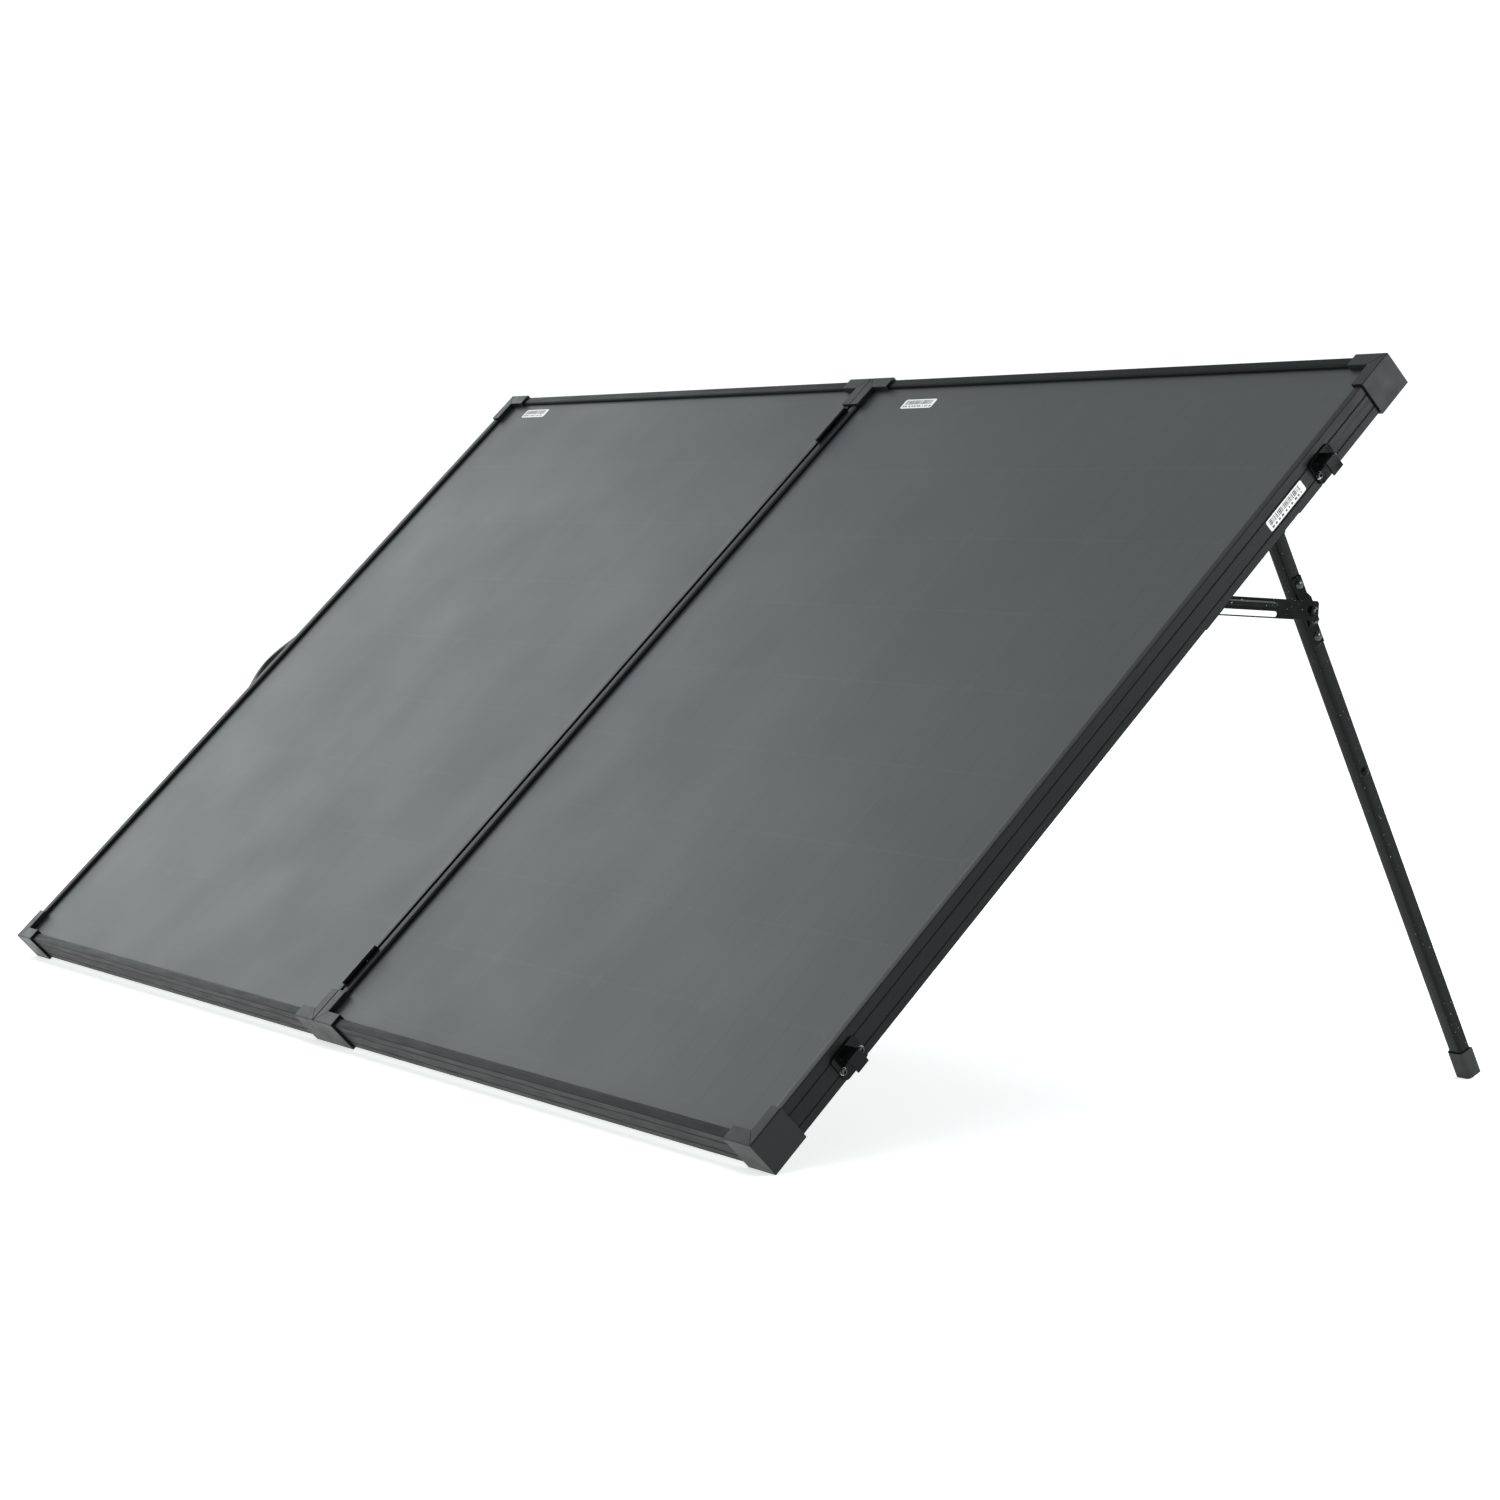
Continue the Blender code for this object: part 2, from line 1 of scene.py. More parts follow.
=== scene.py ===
"""Looks of the folding solar panel: softened copies of the CAD pieces, fittings, labels and materials.

Positions are in metres in the CAD frame.  The panel frame used by the helpers
has X along the bottom edge, "up" along the panel towards its top edge, and
"out" out of the glass; its origin is the rear bottom edge at the fold line.
"""
import json
import math
import random

import bmesh
import bpy
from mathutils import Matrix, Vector

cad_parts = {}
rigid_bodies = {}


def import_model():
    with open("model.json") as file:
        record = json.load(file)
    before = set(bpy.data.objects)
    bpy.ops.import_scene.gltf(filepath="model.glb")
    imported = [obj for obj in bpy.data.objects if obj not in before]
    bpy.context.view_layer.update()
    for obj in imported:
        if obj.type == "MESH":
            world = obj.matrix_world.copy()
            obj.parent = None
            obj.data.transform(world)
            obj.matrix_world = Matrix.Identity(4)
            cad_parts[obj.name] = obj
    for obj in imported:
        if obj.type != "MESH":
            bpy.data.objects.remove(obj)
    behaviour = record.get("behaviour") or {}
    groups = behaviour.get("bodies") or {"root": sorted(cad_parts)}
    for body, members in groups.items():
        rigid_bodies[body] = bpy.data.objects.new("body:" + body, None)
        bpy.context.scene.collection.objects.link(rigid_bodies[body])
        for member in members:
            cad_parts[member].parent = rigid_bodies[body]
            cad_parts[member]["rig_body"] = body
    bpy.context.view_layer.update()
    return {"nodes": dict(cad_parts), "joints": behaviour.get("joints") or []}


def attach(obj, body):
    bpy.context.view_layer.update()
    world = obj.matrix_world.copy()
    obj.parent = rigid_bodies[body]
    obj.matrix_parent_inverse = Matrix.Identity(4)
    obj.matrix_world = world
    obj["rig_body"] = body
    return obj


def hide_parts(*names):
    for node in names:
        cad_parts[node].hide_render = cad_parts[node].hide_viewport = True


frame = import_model()

JOINTS = {joint["name"]: joint for joint in frame["joints"]}

# ---- sizes shared with the CAD ----
HALF_W = 0.6783
HALF_L = 0.7820
THICK = 0.0305
FOLD_GAP = 0.00015                  # from the fold line to each half
GLASS_FACE = 0.0252
SIDE = 0.67645                      # outer face of the outer rails
GUARD_FACE = 0.0125                 # width of a guard's front face
FOLD_HEIGHT = 0.03075               # fold axis in front of the guards' rear face
LEG_ANGLE = math.radians(71.97)
LEG_CENTRE = 0.0118
FOOT_FRONT = 0.0182
STAY_AT = 0.0882

# ---- outer faces that the fittings sit on, along X from the fold line ----
KEEPER_FACE = SIDE + 0.00182
TUBE_FACE = 0.64002
HAT_FACE = 0.64182
STAY_FACE = 0.64702
STAY_RIVET_FACE = 0.64882

RIGHT = Vector((1.0, 0.0, 0.0))
UP = Vector(JOINTS["fold"]["axis"]).normalized()
OUT = Vector((0.0, -UP.z, UP.y))
ORIGIN = Vector(JOINTS["fold"]["pos_m"]) - UP * (HALF_L / 2.0) - OUT * FOLD_HEIGHT
DOWN_LEG = -math.cos(LEG_ANGLE) * UP - math.sin(LEG_ANGLE) * OUT
FRONT_LEG = -math.sin(LEG_ANGLE) * UP + math.cos(LEG_ANGLE) * OUT
SIDES = (("right", 1.0), ("left", -1.0))


def at(x, up, out):
    """World point of a panel-frame point."""
    return ORIGIN + RIGHT * x + UP * up + OUT * out


def pivot_of(joint):
    """A joint's place, moved along X to the fold line."""
    point = Vector(JOINTS[joint]["pos_m"])
    point.x = ORIGIN.x
    return point


# ---- node helpers ----
class Graph:
    """Short calls for building one material's nodes."""

    def __init__(self, name):
        self.material = bpy.data.materials.new(name)
        self.material.use_nodes = True
        self.tree = self.material.node_tree
        self.shader = self.tree.nodes["Principled BSDF"]

    def node(self, kind, **settings):
        made = self.tree.nodes.new(kind)
        for key, value in settings.items():
            setattr(made, key, value)
        return made

    def feed(self, value, socket):
        if isinstance(value, bpy.types.NodeSocket):
            self.tree.links.new(value, socket)
        else:
            socket.default_value = value

    def math(self, operation, a, b=0.0):
        made = self.node("ShaderNodeMath", operation=operation)
        self.feed(a, made.inputs[0])
        self.feed(b, made.inputs[1])
        return made.outputs[0]

    def panel_coords(self, stretch=(1.0, 1.0, 1.0)):
        """Object coordinates turned into the panel frame, then stretched."""
        source = self.node("ShaderNodeTexCoord").outputs["Object"]
        moved = self.node("ShaderNodeVectorMath", operation="SUBTRACT")
        self.feed(source, moved.inputs[0])
        moved.inputs[1].default_value = ORIGIN
        turned = self.node("ShaderNodeMapping")
        turned.inputs["Rotation"].default_value = (-math.atan2(UP.z, UP.y), 0.0, 0.0)
        self.feed(moved.outputs[0], turned.inputs["Vector"])
        scaled = self.node("ShaderNodeVectorMath", operation="MULTIPLY")
        self.feed(turned.outputs[0], scaled.inputs[0])
        scaled.inputs[1].default_value = stretch
        return scaled.outputs[0]

    def noise(self, coords, scale, detail=3.0):
        made = self.node("ShaderNodeTexNoise")
        made.inputs["Scale"].default_value = scale
        made.inputs["Detail"].default_value = detail
        self.feed(coords, made.inputs["Vector"])
        return made.outputs["Fac"]

    def remap(self, value, low, high, to_low=0.0, to_high=1.0):
        made = self.node("ShaderNodeMapRange")
        self.feed(value, made.inputs["Value"])
        limits = (("From Min", low), ("From Max", high), ("To Min", to_low), ("To Max", to_high))
        for name, number in limits:
            made.inputs[name].default_value = number
        return made.outputs[0]

    def mix(self, factor, a, b):
        made = self.node("ShaderNodeMix", data_type="RGBA")
        self.feed(factor, made.inputs["Factor"])
        for value, socket in ((a, made.inputs[6]), (b, made.inputs[7])):
            self.feed(value if isinstance(value, bpy.types.NodeSocket) else (*value, 1.0), socket)
        return made.outputs[2]

    def bump(self, height, strength, distance):
        made = self.node("ShaderNodeBump")
        made.inputs["Strength"].default_value = strength
        made.inputs["Distance"].default_value = distance
        self.feed(height, made.inputs["Height"])
        self.feed(made.outputs[0], self.shader.inputs["Normal"])


# ---- painted, anodised, moulded and printed surfaces ----
NOISE_MIDDLE = (0.3, 0.7)           # holds most of a noise's values
CLOUD_SCALE = 22.0                  # noise scales, per metre
GLOSS_SCALE = 60.0
CHIP_SCALE = 620.0
CHIP_EDGE = 0.02                    # how far the noise rises from paint to bare metal
GRAIN_FROM, GRAIN_TO = 0.62, 0.78
GRAIN_MOST = 0.35                   # how much of the grain's lighter colour shows
GRAIN_LIGHTER = 1.9
GLOSSIER, DULLER = 0.06, 0.07       # how far the roughness wanders each way
GRAIN_BUMP = 0.5


def shade(colour, factor):
    return tuple(c * factor for c in colour)


def surface(name, colour, rough, spread=0.18, grain=900.0, relief=0.00004, stretch=(1.0, 1.0, 1.0),
            metallic=0.0, specular=0.5, wear=None, wear_at=0.70):
    """Uneven colour and gloss, a fine grain, and a few chips where wear is a colour."""
    g = Graph(name)
    coords = g.panel_coords(stretch)
    cloud = g.remap(g.noise(coords, CLOUD_SCALE, 5.0), *NOISE_MIDDLE)
    fine = g.noise(coords, grain)
    tone = g.mix(cloud, shade(colour, 1.0 - spread), shade(colour, 1.0 + spread))
    tone = g.mix(g.remap(fine, GRAIN_FROM, GRAIN_TO, 0.0, GRAIN_MOST), tone, shade(colour, GRAIN_LIGHTER))
    if wear:
        chips = g.noise(coords, CHIP_SCALE, 4.0)
        tone = g.mix(g.remap(chips, wear_at, wear_at + CHIP_EDGE), tone, wear)
    g.feed(tone, g.shader.inputs["Base Color"])
    gloss = g.remap(g.noise(coords, GLOSS_SCALE, 4.0), *NOISE_MIDDLE, rough - GLOSSIER, rough + DULLER)
    g.feed(gloss, g.shader.inputs["Roughness"])
    g.shader.inputs["Metallic"].default_value = metallic
    g.shader.inputs["Specular IOR Level"].default_value = specular
    g.bump(fine, GRAIN_BUMP, relief)
    return g.material


ALONG_UP = (6.0, 0.5, 6.0)          # stretches that draw the grain out along a rail
ALONG_X = (0.5, 6.0, 6.0)
PAINT_CHIP = (0.42, 0.41, 0.39)

RAIL_UP = surface("anodised_rail_up", (0.0068, 0.0076, 0.0080), 0.32,
                  stretch=ALONG_UP, grain=300.0, relief=0.00002, specular=0.15)
RAIL_X = surface("anodised_rail_across", (0.0075, 0.0084, 0.0088), 0.36,
                 stretch=ALONG_X, grain=300.0, relief=0.00002, specular=0.06)
TUBE = surface("anodised_tube", (0.0040, 0.0043, 0.0046), 0.28,
               grain=300.0, specular=0.15, wear=PAINT_CHIP, wear_at=0.71)
PLASTIC = surface("grained_plastic", (0.0105, 0.0116, 0.0120), 0.37,
                  spread=0.10, grain=1500.0, relief=0.00006, specular=0.21)
STEEL = surface("glossy_black_paint", (0.0030, 0.0033, 0.0035), 0.13,
                grain=500.0, relief=0.00002, specular=0.12)
POLISHED = surface("polished_black_head", (0.0040, 0.0042, 0.0044), 0.10,
                   grain=500.0, relief=0.00001, specular=0.65)
CHIPPED = surface("chipped_black_paint", (0.0030, 0.0033, 0.0035), 0.15,
                  grain=500.0, relief=0.00002, specular=0.09, wear=PAINT_CHIP, wear_at=0.69)
WIRE = surface("plated_wire", (0.55, 0.55, 0.56), 0.22,
               spread=0.08, metallic=1.0, grain=700.0, relief=0.00001)
RUBBER = surface("matt_rubber", (0.0170, 0.0170, 0.0172), 0.68,
                 spread=0.25, grain=1100.0, relief=0.00012)
NYLON = surface("black_nylon_grain", (0.0200, 0.0205, 0.0210), 0.50,
                grain=1300.0, relief=0.00008)
BACKSHEET = surface("dark_backsheet", (0.0220, 0.0230, 0.0250), 0.55,
                    spread=0.10, grain=260.0, relief=0.00002)
LABEL = surface("label_paper", (0.78, 0.78, 0.77), 0.45,
                spread=0.03, grain=1200.0, relief=0.00001)
# painted shade: the guards' mitre lines are thin dark strips whose colour stands for the shade in their
# grooves
GROOVE_SHADE = surface("guard_groove_shade", (0.0060, 0.0064, 0.0066), 0.60,
                    grain=1500.0, relief=0.00002, specular=0.10)
INK = surface("label_ink", (0.06, 0.06, 0.06), 0.50,
              spread=0.15, grain=1200.0, relief=0.00001)


# ---- cover glass over the cell grid ----
COLUMN_PITCH = 0.1592
ROW_PITCH = 0.0802
COLUMNS_EACH_WAY = 2.0              # from a half's centre line
ROWS = 9.0
GRID_TOP = {"right": 0.7443, "left": 0.7580}
CELL_GAP = 0.0011                   # half the visible gap between cells
DIAMOND = 0.0085                    # half the diagonal of the gap at clipped corners
BUSBAR_PITCH = 0.0312
BUSBAR_SHARE = 0.025                # half a busbar, as a share of its pitch
WHOLE_CELLS = 8.0                   # added so that a cell count is never below zero
CELL_DARK = (0.0150, 0.0185, 0.0200)
CELL_LIGHT = (0.0200, 0.0240, 0.0255)
GAP_TONE = (0.0225, 0.0265, 0.0280)
BUSBAR_TONE = (0.0125, 0.0150, 0.0160)
DUST_TONE = (0.16, 0.16, 0.15)
GLASS_IOR = 1.5


def through_cell(g, distance, pitch):
    """How far through its cell a point is, from 0 to 1."""
    return g.math("FRACT", g.math("ADD", g.math("DIVIDE", distance, pitch), WHOLE_CELLS))


def to_edge(g, share, pitch):
    """Distance to the nearer edge of the cell."""
    return g.math("MULTIPLY", g.math("MINIMUM", share, g.math("SUBTRACT", 1.0, share)), pitch)


def cell_glass(side):
    """Matt cover glass with the cell grid faintly showing through."""
    g = Graph("cover_glass_" + side)
    coords = g.panel_coords()
    split = g.node("ShaderNodeSeparateXYZ")
    g.feed(coords, split.inputs[0])
    centre = (HALF_W / 2.0 + FOLD_GAP) * dict(SIDES)[side]

    across = g.math("SUBTRACT", split.outputs["X"], centre)
    below_top = g.math("SUBTRACT", GRID_TOP[side], split.outputs["Y"])
    column = through_cell(g, across, COLUMN_PITCH)
    to_column = to_edge(g, column, COLUMN_PITCH)
    to_row = to_edge(g, through_cell(g, below_top, ROW_PITCH), ROW_PITCH)
    to_wafer = to_edge(g, through_cell(g, below_top, 2.0 * ROW_PITCH), 2.0 * ROW_PITCH)

    gap = g.math("LESS_THAN", g.math("MINIMUM", to_column, to_row), CELL_GAP)
    diamond = g.math("LESS_THAN", g.math("ADD", to_column, to_wafer), DIAMOND)
    in_columns = g.math("LESS_THAN", g.math("ABSOLUTE", across), COLUMNS_EACH_WAY * COLUMN_PITCH)
    in_rows = g.math("MULTIPLY", g.math("GREATER_THAN", below_top, 0.0),
                     g.math("LESS_THAN", below_top, ROWS * ROW_PITCH))
    inside = g.math("MULTIPLY", in_columns, in_rows)
    seam = g.math("MULTIPLY", inside, g.math("MAXIMUM", gap, diamond))

    from_middle = g.math("MULTIPLY", g.math("SUBTRACT", column, 0.5), COLUMN_PITCH)
    bar = g.math("DIVIDE", from_middle, BUSBAR_PITCH)
    off_bar = g.math("ABSOLUTE", g.math("SUBTRACT", bar, g.math("ROUND", bar)))
    busbar = g.math("MULTIPLY", inside, g.math("LESS_THAN", off_bar, BUSBAR_SHARE))

    tone = g.mix(g.remap(g.noise(coords, 3.0, 4.0), *NOISE_MIDDLE), CELL_DARK, CELL_LIGHT)
    tone = g.mix(seam, tone, GAP_TONE)
    tone = g.mix(busbar, tone, BUSBAR_TONE)
    dust = g.remap(g.noise(coords, 420.0, 2.0), 0.76, 0.80, 0.0, 0.5)
    tone = g.mix(dust, tone, DUST_TONE)
    g.feed(tone, g.shader.inputs["Base Color"])
    gloss = g.remap(g.noise(coords, 9.0, 5.0), *NOISE_MIDDLE, 0.40, 0.46)
    g.feed(gloss, g.shader.inputs["Roughness"])
    g.shader.inputs["IOR"].default_value = GLASS_IOR
    g.bump(g.noise(coords, 1400.0, 2.0), 0.35, 0.00003)
    return g.material


# ---- mesh helpers ----
SHARP = math.radians(33.0)          # rail groove edges turn 35.5 degrees and have to stay crisp
WELD = 0.000002
FLAT = math.radians(0.3)
TURNED_SHARP = math.radians(40.0)
TURNED_SIDES = 24
HEX = math.pi / 3.0


def placed(name, bm, *finishes):
    """A finished bmesh as an object in the scene."""
    mesh = bpy.data.meshes.new(name)
    bm.to_mesh(mesh)
    bm.free()
    for finish in finishes:
        mesh.materials.append(finish)
    piece = bpy.data.objects.new(name, mesh)
    bpy.context.scene.collection.objects.link(piece)
    return piece


def applied(obj):
    """Make the object's modifiers permanent."""
    depsgraph = bpy.context.evaluated_depsgraph_get()
    obj.data = bpy.data.meshes.new_from_object(obj.evaluated_get(depsgraph))
    obj.modifiers.clear()


def softened(node, width, finish):
    """A copy of a CAD piece with small rounded edges, which stands for it."""
    source = frame["nodes"][node].data
    bm = bmesh.new()
    points = [bm.verts.new(v.co) for v in source.vertices]
    for polygon in source.polygons:
        bm.faces.new([points[i] for i in polygon.vertices])
    bmesh.ops.remove_doubles(bm, verts=bm.verts, dist=WELD)
    bmesh.ops.dissolve_limit(bm, angle_limit=FLAT, verts=bm.verts, edges=bm.edges)
    for face in bm.faces:
        face.smooth = True
    for edge in bm.edges:
        edge.smooth = len(edge.link_faces) == 2 and edge.calc_face_angle(0.0) < SHARP
    piece = placed(node + "_soft", bm, finish)
    bevel = piece.modifiers.new("edges", "BEVEL")
    bevel.width = width
    bevel.segments = 2
    bevel.limit_method = "ANGLE"
    bevel.angle_limit = SHARP
    bevel.harden_normals = True
    applied(piece)
    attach(piece, frame["nodes"][node]["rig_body"])
    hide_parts(node)


def repainted(node, finish):
    """A CAD piece that keeps its own shape and only gets a better material."""
    target = frame["nodes"][node]
    target.data.materials.clear()
    target.data.materials.append(finish)


def loft(bm, rings, closed=False):
    """Skin over rings of points; closed joins the last ring to the first, else both ends are capped."""
    pairs = list(zip(rings, rings[1:]))
    if closed:
        pairs.append((rings[-1], rings[0]))
    for low, high in pairs:
        for i in range(len(low)):
            j = (i + 1) % len(low)
            bm.faces.new((low[i], low[j], high[j], high[i]))
    if not closed:
        bm.faces.new(rings[0][::-1])
        bm.faces.new(rings[-1])
    bmesh.ops.recalc_face_normals(bm, faces=bm.faces)
    for face in bm.faces:
        face.smooth = len(face.verts) == 4
    for edge in bm.edges:
        edge.smooth = edge.calc_face_angle(0.0) < TURNED_SHARP


def turned(name, profile, centre, axis, body, finish, slot, closed=False):
    """Turned piece from (radius, height, six-sided?) rings about an axis."""
    side_a = axis.orthogonal().normalized()
    side_b = axis.cross(side_a)
    bm = bmesh.new()
    rings = []
    for radius, height, six in profile:
        ring = []
        for i in range(TURNED_SIDES):
            angle = 2.0 * math.pi * i / TURNED_SIDES
            reach = radius
            if six:
                reach = radius * math.cos(HEX / 2.0) / math.cos(angle % HEX - HEX / 2.0)
            spoke = (side_a * math.cos(angle) + side_b * math.sin(angle)) * reach
            ring.append(bm.verts.new(centre + axis * height + spoke))
        rings.append(ring)
    loft(bm, rings, closed)
    piece = placed(name, bm, finish)
    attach(piece, body)


def slab(bm, loop, lift, low, high, material):
    """Closed plate from a loop of (p, q) points between two heights."""
    under = [bm.verts.new(lift(p, q, low)) for p, q in loop]
    over = [bm.verts.new(lift(p, q, high)) for p, q in loop]
    faces = [bm.faces.new(under[::-1]), bm.faces.new(over)]
    for i in range(len(loop)):
        j = (i + 1) % len(loop)
        faces.append(bm.faces.new((under[i], under[j], over[j], over[i])))
    for face in faces:
        face.material_index = material


# ---- the CAD pieces: softened copies, or better materials ----
# node, width of its rounded edges, finish, slot
SOFT_ON_EACH_HALF = (
    ("rail_outer", 0.00022, RAIL_UP, "black_anodised_aluminium"),
    ("rail_inner", 0.00022, RAIL_UP, "black_anodised_aluminium"),
    ("rail_top", 0.00022, RAIL_X, "black_anodised_aluminium"),
    ("rail_bottom", 0.00022, RAIL_X, "black_anodised_aluminium"),
    ("guard_outer_top", 0.00030, PLASTIC, "dark_grey_plastic"),
    ("guard_outer_bottom", 0.00030, PLASTIC, "dark_grey_plastic"),
    ("guard_inner_top", 0.00030, PLASTIC, "dark_grey_plastic"),
    ("guard_inner_bottom", 0.00030, PLASTIC, "dark_grey_plastic"),
    ("junction_box", 0.00040, NYLON, "black_nylon"),
    ("junction_lid", 0.00050, NYLON, "black_nylon"),
    ("leg_mount", 0.00022, STEEL, "black_painted_steel"),
    ("stay_bracket", 0.00022, STEEL, "black_painted_steel"),
    ("leg_tube", 0.00020, TUBE, "black_anodised_aluminium"),
    ("foot", 0.00040, RUBBER, "black_rubber"),
    ("leg_end_plate", 0.00018, STEEL, "black_painted_steel"),
    ("leg_hat_bracket", 0.00018, CHIPPED, "black_painted_steel"),
    ("stay", 0.00018, CHIPPED, "black_painted_steel"),
)
STEEL_ON_EACH_HALF = ("hinge_leaf_bottom", "hinge_leaf_top", "clamp_screw", "clamp_nut")
SOFT_AT_EACH_LATCH = (("keeper", 0.00025), ("latch_base", 0.00020), ("latch_lever", 0.00015))

for side, turn in SIDES:
    for name, width, finish, slot in SOFT_ON_EACH_HALF:
        softened("%s_%s" % (name, side), width, finish)
    repainted("glass_" + side, cell_glass(side))
    repainted("cell_sheet_" + side, BACKSHEET)
    for name in STEEL_ON_EACH_HALF:
        repainted("%s_%s" % (name, side), STEEL)
for end in ("bottom", "top"):
    for name, width in SOFT_AT_EACH_LATCH:
        softened("%s_%s" % (name, end), width, STEEL)
    repainted("latch_bail_" + end, WIRE)
softened("carry_handle", 0.00080, NYLON)


# ---- screw and rivet heads ----
# shares of a dome's radius and height
DOME = ((1.0, 0.0), (0.97, 0.30), (0.80, 0.68), (0.50, 0.92), (0.20, 1.0))
SOCKET = 0.55                       # hexagonal hole, as a share of the head's radius


def rivet(name, centre, axis, radius, height, body, finish=POLISHED):
    """Low domed head."""
    profile = [(radius * wide, height * high, False) for wide, high in DOME]
    turned(name, profile, centre, axis, body, finish, "black_painted_steel")


def socket_screw(name, centre, axis, radius, height, body):
    """Round head with a hexagonal hole, on a thin plated ring."""
    hole = radius * SOCKET
    profile = [(radius, 0.0, False), (radius, height * 0.75, False), (radius * 0.90, height, False),
               (hole * 1.12, height, False), (hole, height * 0.93, True), (hole, height * 0.35, True)]
    turned(name, profile, centre, axis, body, POLISHED, "black_painted_steel")
    inner, outer, top = radius * 1.06, radius * 1.18, height * 0.15
    rim = [(inner, 0.0, False), (outer, 0.0, False), (outer, top, False), (inner, top, False)]
    turned(name + "_ring", rim, centre, axis, body, WIRE, "zinc_plated_steel", closed=True)


# ---- keepers: two screws each ----
KEEPERS = {"bottom": 0.0950, "top": 0.6810}
KEEPER_OUT = 0.0098
KEEPER_SCREW_OFF = 0.0099
KEEPER_SCREW = (0.0024, 0.0018)     # radius and height

for name, height in KEEPERS.items():
    for number, turn in enumerate((-1, 1), 1):
        centre = at(KEEPER_FACE, height + turn * KEEPER_SCREW_OFF, KEEPER_OUT)
        socket_screw("keeper_%s_screw_%d" % (name, number), centre, RIGHT, *KEEPER_SCREW, "right_half")


# ---- legs: rivets, stud, and the stay's rivet and rib ----
HAT_RIVET_OFF = 0.0217
HAT_RIVET = (0.0038, 0.0017)
STUD = (0.0034, 0.0020)
STUD_ABOVE_FOOT = 0.272
# radii and heights of the ring rolled over at the closed end of the stay's rivet
ROLLED_RING = [(0.0021, 0.0, False), (0.0036, 0.0, False), (0.0036, 0.0003, False),
               (0.0031, 0.0006, False), (0.0025, 0.0006, False), (0.0021, 0.0003, False)]
ROLLED_CORE = (0.0017, 0.0005)
RIB_NEAR, RIB_FAR = 0.0330, 0.1180  # along the stay from its pivot
RIB_ABOVE = 0.0034                  # above the stay's centre line
RIB_HALF_WIDTH = 0.0027
RIB_HEIGHT = 0.0008
RIB_STATIONS = 25
RIB_ARC = 8                         # steps across the rib
RIB_LEAST = 0.02                    # what is left of the rib's section at its ends
RIB_BLUNT = 14                      # higher keeps the full section closer to the ends


def leg_fittings(side, outward):
    """Rivets on the hat bracket and the stud lower down the leg."""
    pivot = pivot_of("leg_%s_fold" % side)
    length = (pivot.z + FOOT_FRONT * FRONT_LEG.z) / -DOWN_LEG.z
    for number, along in enumerate((STAY_AT - HAT_RIVET_OFF, STAY_AT + HAT_RIVET_OFF), 1):
        centre = pivot + DOWN_LEG * along + FRONT_LEG * LEG_CENTRE + outward * HAT_FACE
        rivet("hat_rivet_%s_%d" % (side, number), centre, outward, *HAT_RIVET, "leg_" + side)
    centre = pivot + DOWN_LEG * (length - STUD_ABOVE_FOOT) + FRONT_LEG * LEG_CENTRE + outward * TUBE_FACE
    rivet("leg_stud_" + side, centre, outward, *STUD, "leg_" + side, CHIPPED)


def stay_rivet(side, outward):
    """Closed end of the stay's rivet: a rolled ring around a low dome."""
    head = pivot_of("stay_%s_turn" % side) + outward * STAY_RIVET_FACE
    turned("stay_rivet_ring_" + side, ROLLED_RING, head, outward, "leg_" + side, CHIPPED,
           "black_painted_steel", closed=True)
    rivet("stay_rivet_core_" + side, head, outward, *ROLLED_CORE, "leg_" + side)


def stay_rib(side, outward):
    """Pressed rib along the upper half of the stay."""
    pivot = pivot_of("stay_%s_turn" % side)
    along = -Vector(JOINTS["clamp_%s_slide" % side]["axis"]).normalized()
    over = Vector((0.0, along.z, -along.y))
    bm = bmesh.new()
    rings = []
    for k in range(RIB_STATIONS):
        place = -1.0 + 2.0 * k / (RIB_STATIONS - 1)
        swell = max(RIB_LEAST, 1.0 - abs(place) ** RIB_BLUNT) ** 0.5
        middle = pivot + along * (RIB_NEAR + (RIB_FAR - RIB_NEAR) * (place + 1.0) / 2.0)
        ring = []
        for i in range(RIB_ARC + 1):
            angle = math.pi * i / RIB_ARC
            across = over * (RIB_ABOVE + RIB_HALF_WIDTH * swell * math.cos(angle))
            raised = outward * (STAY_FACE + RIB_HEIGHT * swell * math.sin(angle))
            ring.append(bm.verts.new(middle + across + raised))
        rings.append(ring)
    loft(bm, rings)
    rib = placed("stay_rib_" + side, bm, CHIPPED)
    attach(rib, "stay_" + side)


for side, turn in SIDES:
    leg_fittings(side, RIGHT * turn)
    stay_rivet(side, RIGHT * turn)
    stay_rib(side, RIGHT * turn)


# ---- mitre lines on the front faces of the corner guards, painted dark as the shade in their grooves ----
LINE_HALF = 0.00022
LINE_FROM = 0.0009                  # from the guard's outer corner, along each edge
LINE_SHORT = 0.0008                 # short of the guard's inner corner
LINE_LOW, LINE_HIGH = 0.00001, 0.00003


def guard_mitres(side, turn):
    """One thin diagonal line on each of a half's four guards: a dark strip of painted shade that stands
    for a groove.
    """
    near, far = LINE_FROM, GUARD_FACE - LINE_SHORT
    loop = [(near - LINE_HALF, near + LINE_HALF), (near + LINE_HALF, near - LINE_HALF),
            (far + LINE_HALF, far - LINE_HALF), (far - LINE_HALF, far + LINE_HALF)]
    bm = bmesh.new()
    for x_edge, x_in in ((FOLD_GAP, 1.0), (FOLD_GAP + HALF_W, -1.0)):
        for up_edge, up_in in ((0.0, 1.0), (HALF_L, -1.0)):
            def lift(p, q, h):
                return at(turn * (x_edge + x_in * p), up_edge + up_in * q, THICK + h)
            slab(bm, loop, lift, LINE_LOW, LINE_HIGH, 0)
    bmesh.ops.recalc_face_normals(bm, faces=bm.faces)
    lines = placed("guard_mitres_" + side, bm, GROOVE_SHADE)
    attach(lines, side + "_half")


for side, turn in SIDES:
    guard_mitres(side, turn)


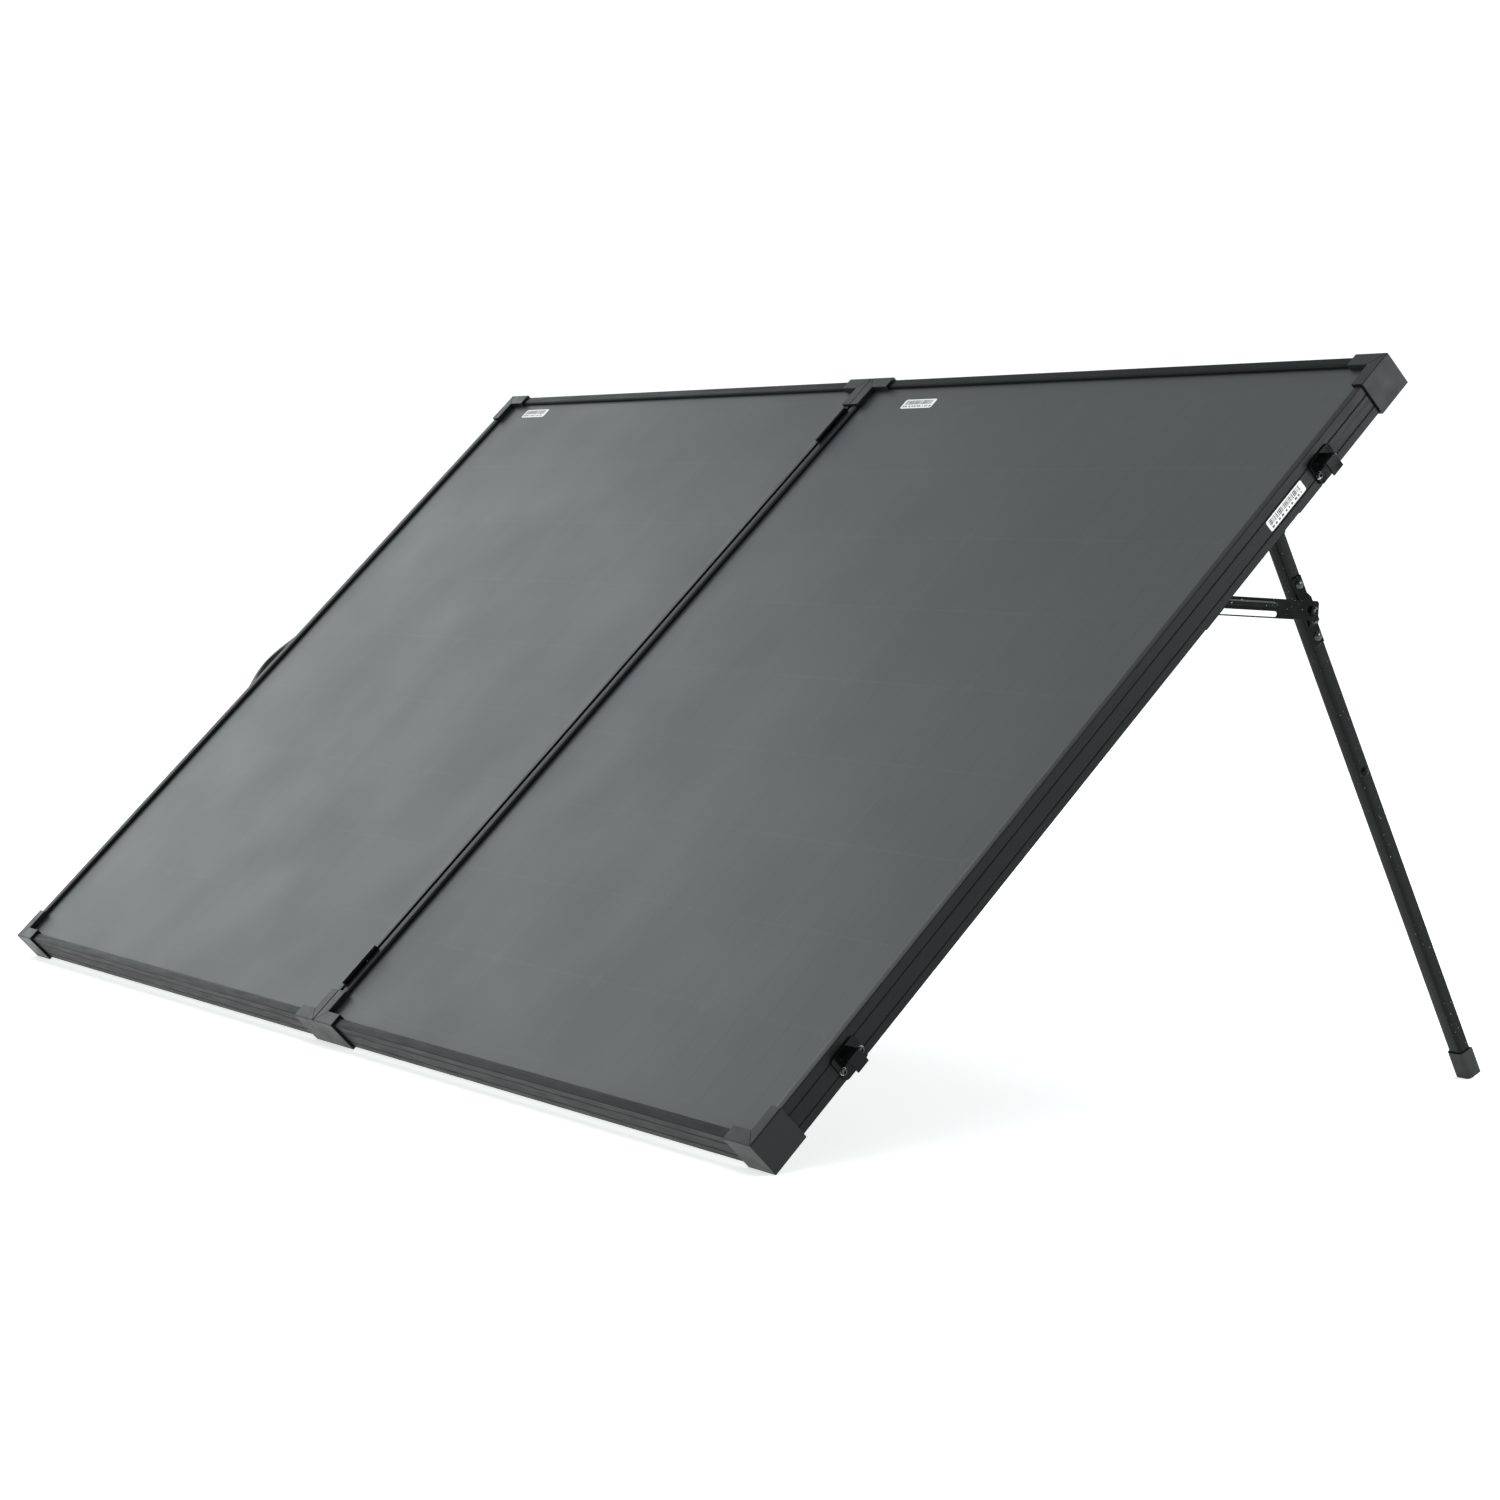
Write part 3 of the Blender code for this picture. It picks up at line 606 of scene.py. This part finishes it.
# ---- labels: paper with generic bars, no lettering ----
PAPER_LOW, PAPER_HIGH = 0.00003, 0.00015
PRINT_LOW, PRINT_HIGH = 0.00017, 0.00020
CORNER_SHARE = 0.16                 # of the label's shorter side
CORNER_STEPS = 4
PRINT_FROM, PRINT_TO = 0.06, 0.90   # shares of the label's width
# upright bars, then short dashes: bottom and top as shares of the height, least and most width
PRINT_ROWS = ((0.42, 0.88, 0.0003, 0.0011), (0.14, 0.30, 0.0009, 0.0028))


def rounded(width, height, corner):
    """Loop round a rectangle with arcs at its corners."""
    loop = []
    for cp, cq, start in ((width - corner, height - corner, 0), (corner, height - corner, 1),
                          (corner, corner, 2), (width - corner, corner, 3)):
        for i in range(CORNER_STEPS + 1):
            angle = (start + i / CORNER_STEPS) * math.pi / 2.0
            loop.append((cp + corner * math.cos(angle), cq + corner * math.sin(angle)))
    return loop


def label(name, width, height, lift, body, seed):
    """Paper with a row of upright bars over a row of short dashes."""
    rng = random.Random(seed)
    bm = bmesh.new()
    outline = rounded(width, height, min(width, height) * CORNER_SHARE)
    slab(bm, outline, lift, PAPER_LOW, PAPER_HIGH, 0)
    for bottom, top, least, most in PRINT_ROWS:
        low, high = height * bottom, height * top
        p = width * PRINT_FROM
        while p < width * PRINT_TO:
            size = rng.uniform(least, most)
            mark = [(p, low), (p + size, low), (p + size, high), (p, high)]
            slab(bm, mark, lift, PRINT_LOW, PRINT_HIGH, 1)
            p += size + rng.uniform(least, most)
    bmesh.ops.recalc_face_normals(bm, faces=bm.faces)
    piece = placed(name, bm, LABEL, INK)
    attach(piece, body)


def on_glass(x, up):
    """Places a label's points on the glass, from its lower left corner."""
    return lambda p, q, h: at(x + p, up + q, GLASS_FACE + h)


def on_side(up, out):
    """Places a label's points on the right half's outer rail."""
    return lambda p, q, h: at(SIDE + h, up + p, out + q)


label("glass_label_right", 0.0470, 0.0114, on_glass(0.0770, 0.7445), "right_half", 3)
label("glass_label_left", 0.0470, 0.0114, on_glass(0.0506 - HALF_W, 0.7523), "left_half", 5)
label("side_label_right", 0.0455, 0.0093, on_side(0.6110, 0.0100), "right_half", 7)


# ---- floor, light and camera ----
FLOOR_HALF = 30.0
FLOOR_DARK = (0.93, 0.93, 0.93)
FLOOR_LIGHT = (0.95, 0.95, 0.95)
FLOOR_GLOW = 0.62
COOL_WHITE = (0.945, 0.995, 1.0)
# along each axis the surround's strength goes from the third value to the fourth
# as a direction's part along that axis goes from the first to the second
SURROUND = (("Z", (0.15, 0.75, 1.10, 0.55)), ("X", (-0.10, 0.80, 1.00, 0.40)))
# name, place, target, side in metres, power in watts
SOFTBOXES = (
    ("overhead_softbox", (0.3, 0.0, 3.4), (0.2, 0.0, 0.3), 3.0, 60.0),
    ("left_softbox", (-3.8, -0.40, 1.65), (0.0, -0.1, 0.25), 2.3, 25.5),
    ("right_softbox", (3.6, 2.95, 1.25), (0.68, 0.2, 0.5), 1.3, 56.0),
)
CAMERA_PLACE = (2.6650, -1.6118, 0.4567)
CAMERA_YAW = math.radians(57.52)
CAMERA_PITCH = math.radians(-4.10)
CAMERA_LENS = 84.8
CAMERA_SENSOR = 36.0


def floor():
    """Plain pale floor."""
    g = Graph("pale_floor")
    coords = g.node("ShaderNodeTexCoord").outputs["Object"]
    cloud = g.remap(g.noise(coords, 0.6, 3.0), *NOISE_MIDDLE)
    g.feed(g.mix(cloud, FLOOR_DARK, FLOOR_LIGHT), g.shader.inputs["Base Color"])
    g.shader.inputs["Roughness"].default_value = 0.9
    g.shader.inputs["Emission Color"].default_value = (1.0, 1.0, 1.0, 1.0)
    g.shader.inputs["Emission Strength"].default_value = FLOOR_GLOW
    bm = bmesh.new()
    bmesh.ops.create_grid(bm, x_segments=8, y_segments=8, size=FLOOR_HALF)
    piece = placed("floor", bm, g.material)


def surround():
    """White studio, which lights less from overhead and from the keepers' side but looks white."""
    world = bpy.data.worlds.new("studio")
    bpy.context.scene.world = world
    world.use_nodes = True
    tree = world.node_tree
    background = tree.nodes["Background"]
    direction = tree.nodes.new("ShaderNodeTexCoord")
    split = tree.nodes.new("ShaderNodeSeparateXYZ")
    tree.links.new(direction.outputs["Generated"], split.inputs[0])
    product = tree.nodes.new("ShaderNodeMath")
    product.operation = "MULTIPLY"
    for (axis, limits), factor in zip(SURROUND, product.inputs):
        ramp = tree.nodes.new("ShaderNodeMapRange")
        tree.links.new(split.outputs[axis], ramp.inputs["Value"])
        for name, number in zip(("From Min", "From Max", "To Min", "To Max"), limits):
            ramp.inputs[name].default_value = number
        tree.links.new(ramp.outputs[0], factor)
    strength = tree.nodes.new("ShaderNodeMath")
    strength.operation = "MAXIMUM"
    seen = tree.nodes.new("ShaderNodeLightPath")
    tree.links.new(product.outputs[0], strength.inputs[0])
    tree.links.new(seen.outputs["Is Camera Ray"], strength.inputs[1])
    tree.links.new(strength.outputs[0], background.inputs["Strength"])
    background.inputs["Color"].default_value = (*COOL_WHITE, 1.0)


def softbox(name, place, target, size, power):
    data = bpy.data.lights.new(name, "AREA")
    data.color = COOL_WHITE
    data.shape = "SQUARE"
    data.size = size
    data.energy = power
    lamp = bpy.data.objects.new(name, data)
    bpy.context.scene.collection.objects.link(lamp)
    lamp.location = place
    lamp.rotation_euler = (Vector(target) - Vector(place)).to_track_quat("-Z", "Y").to_euler()


def camera():
    data = bpy.data.cameras.new("camera")
    data.sensor_width = CAMERA_SENSOR
    data.lens = CAMERA_LENS
    data.clip_start = 0.05
    data.clip_end = 100.0
    eye = bpy.data.objects.new("camera", data)
    bpy.context.scene.collection.objects.link(eye)
    eye.location = CAMERA_PLACE
    eye.rotation_euler = (math.pi / 2.0 + CAMERA_PITCH, 0.0, CAMERA_YAW)
    bpy.context.scene.camera = eye


floor()
surround()
for box in SOFTBOXES:
    softbox(*box)
camera()
bpy.context.scene.view_settings.view_transform = "Standard"

bpy.context.view_layer.update()
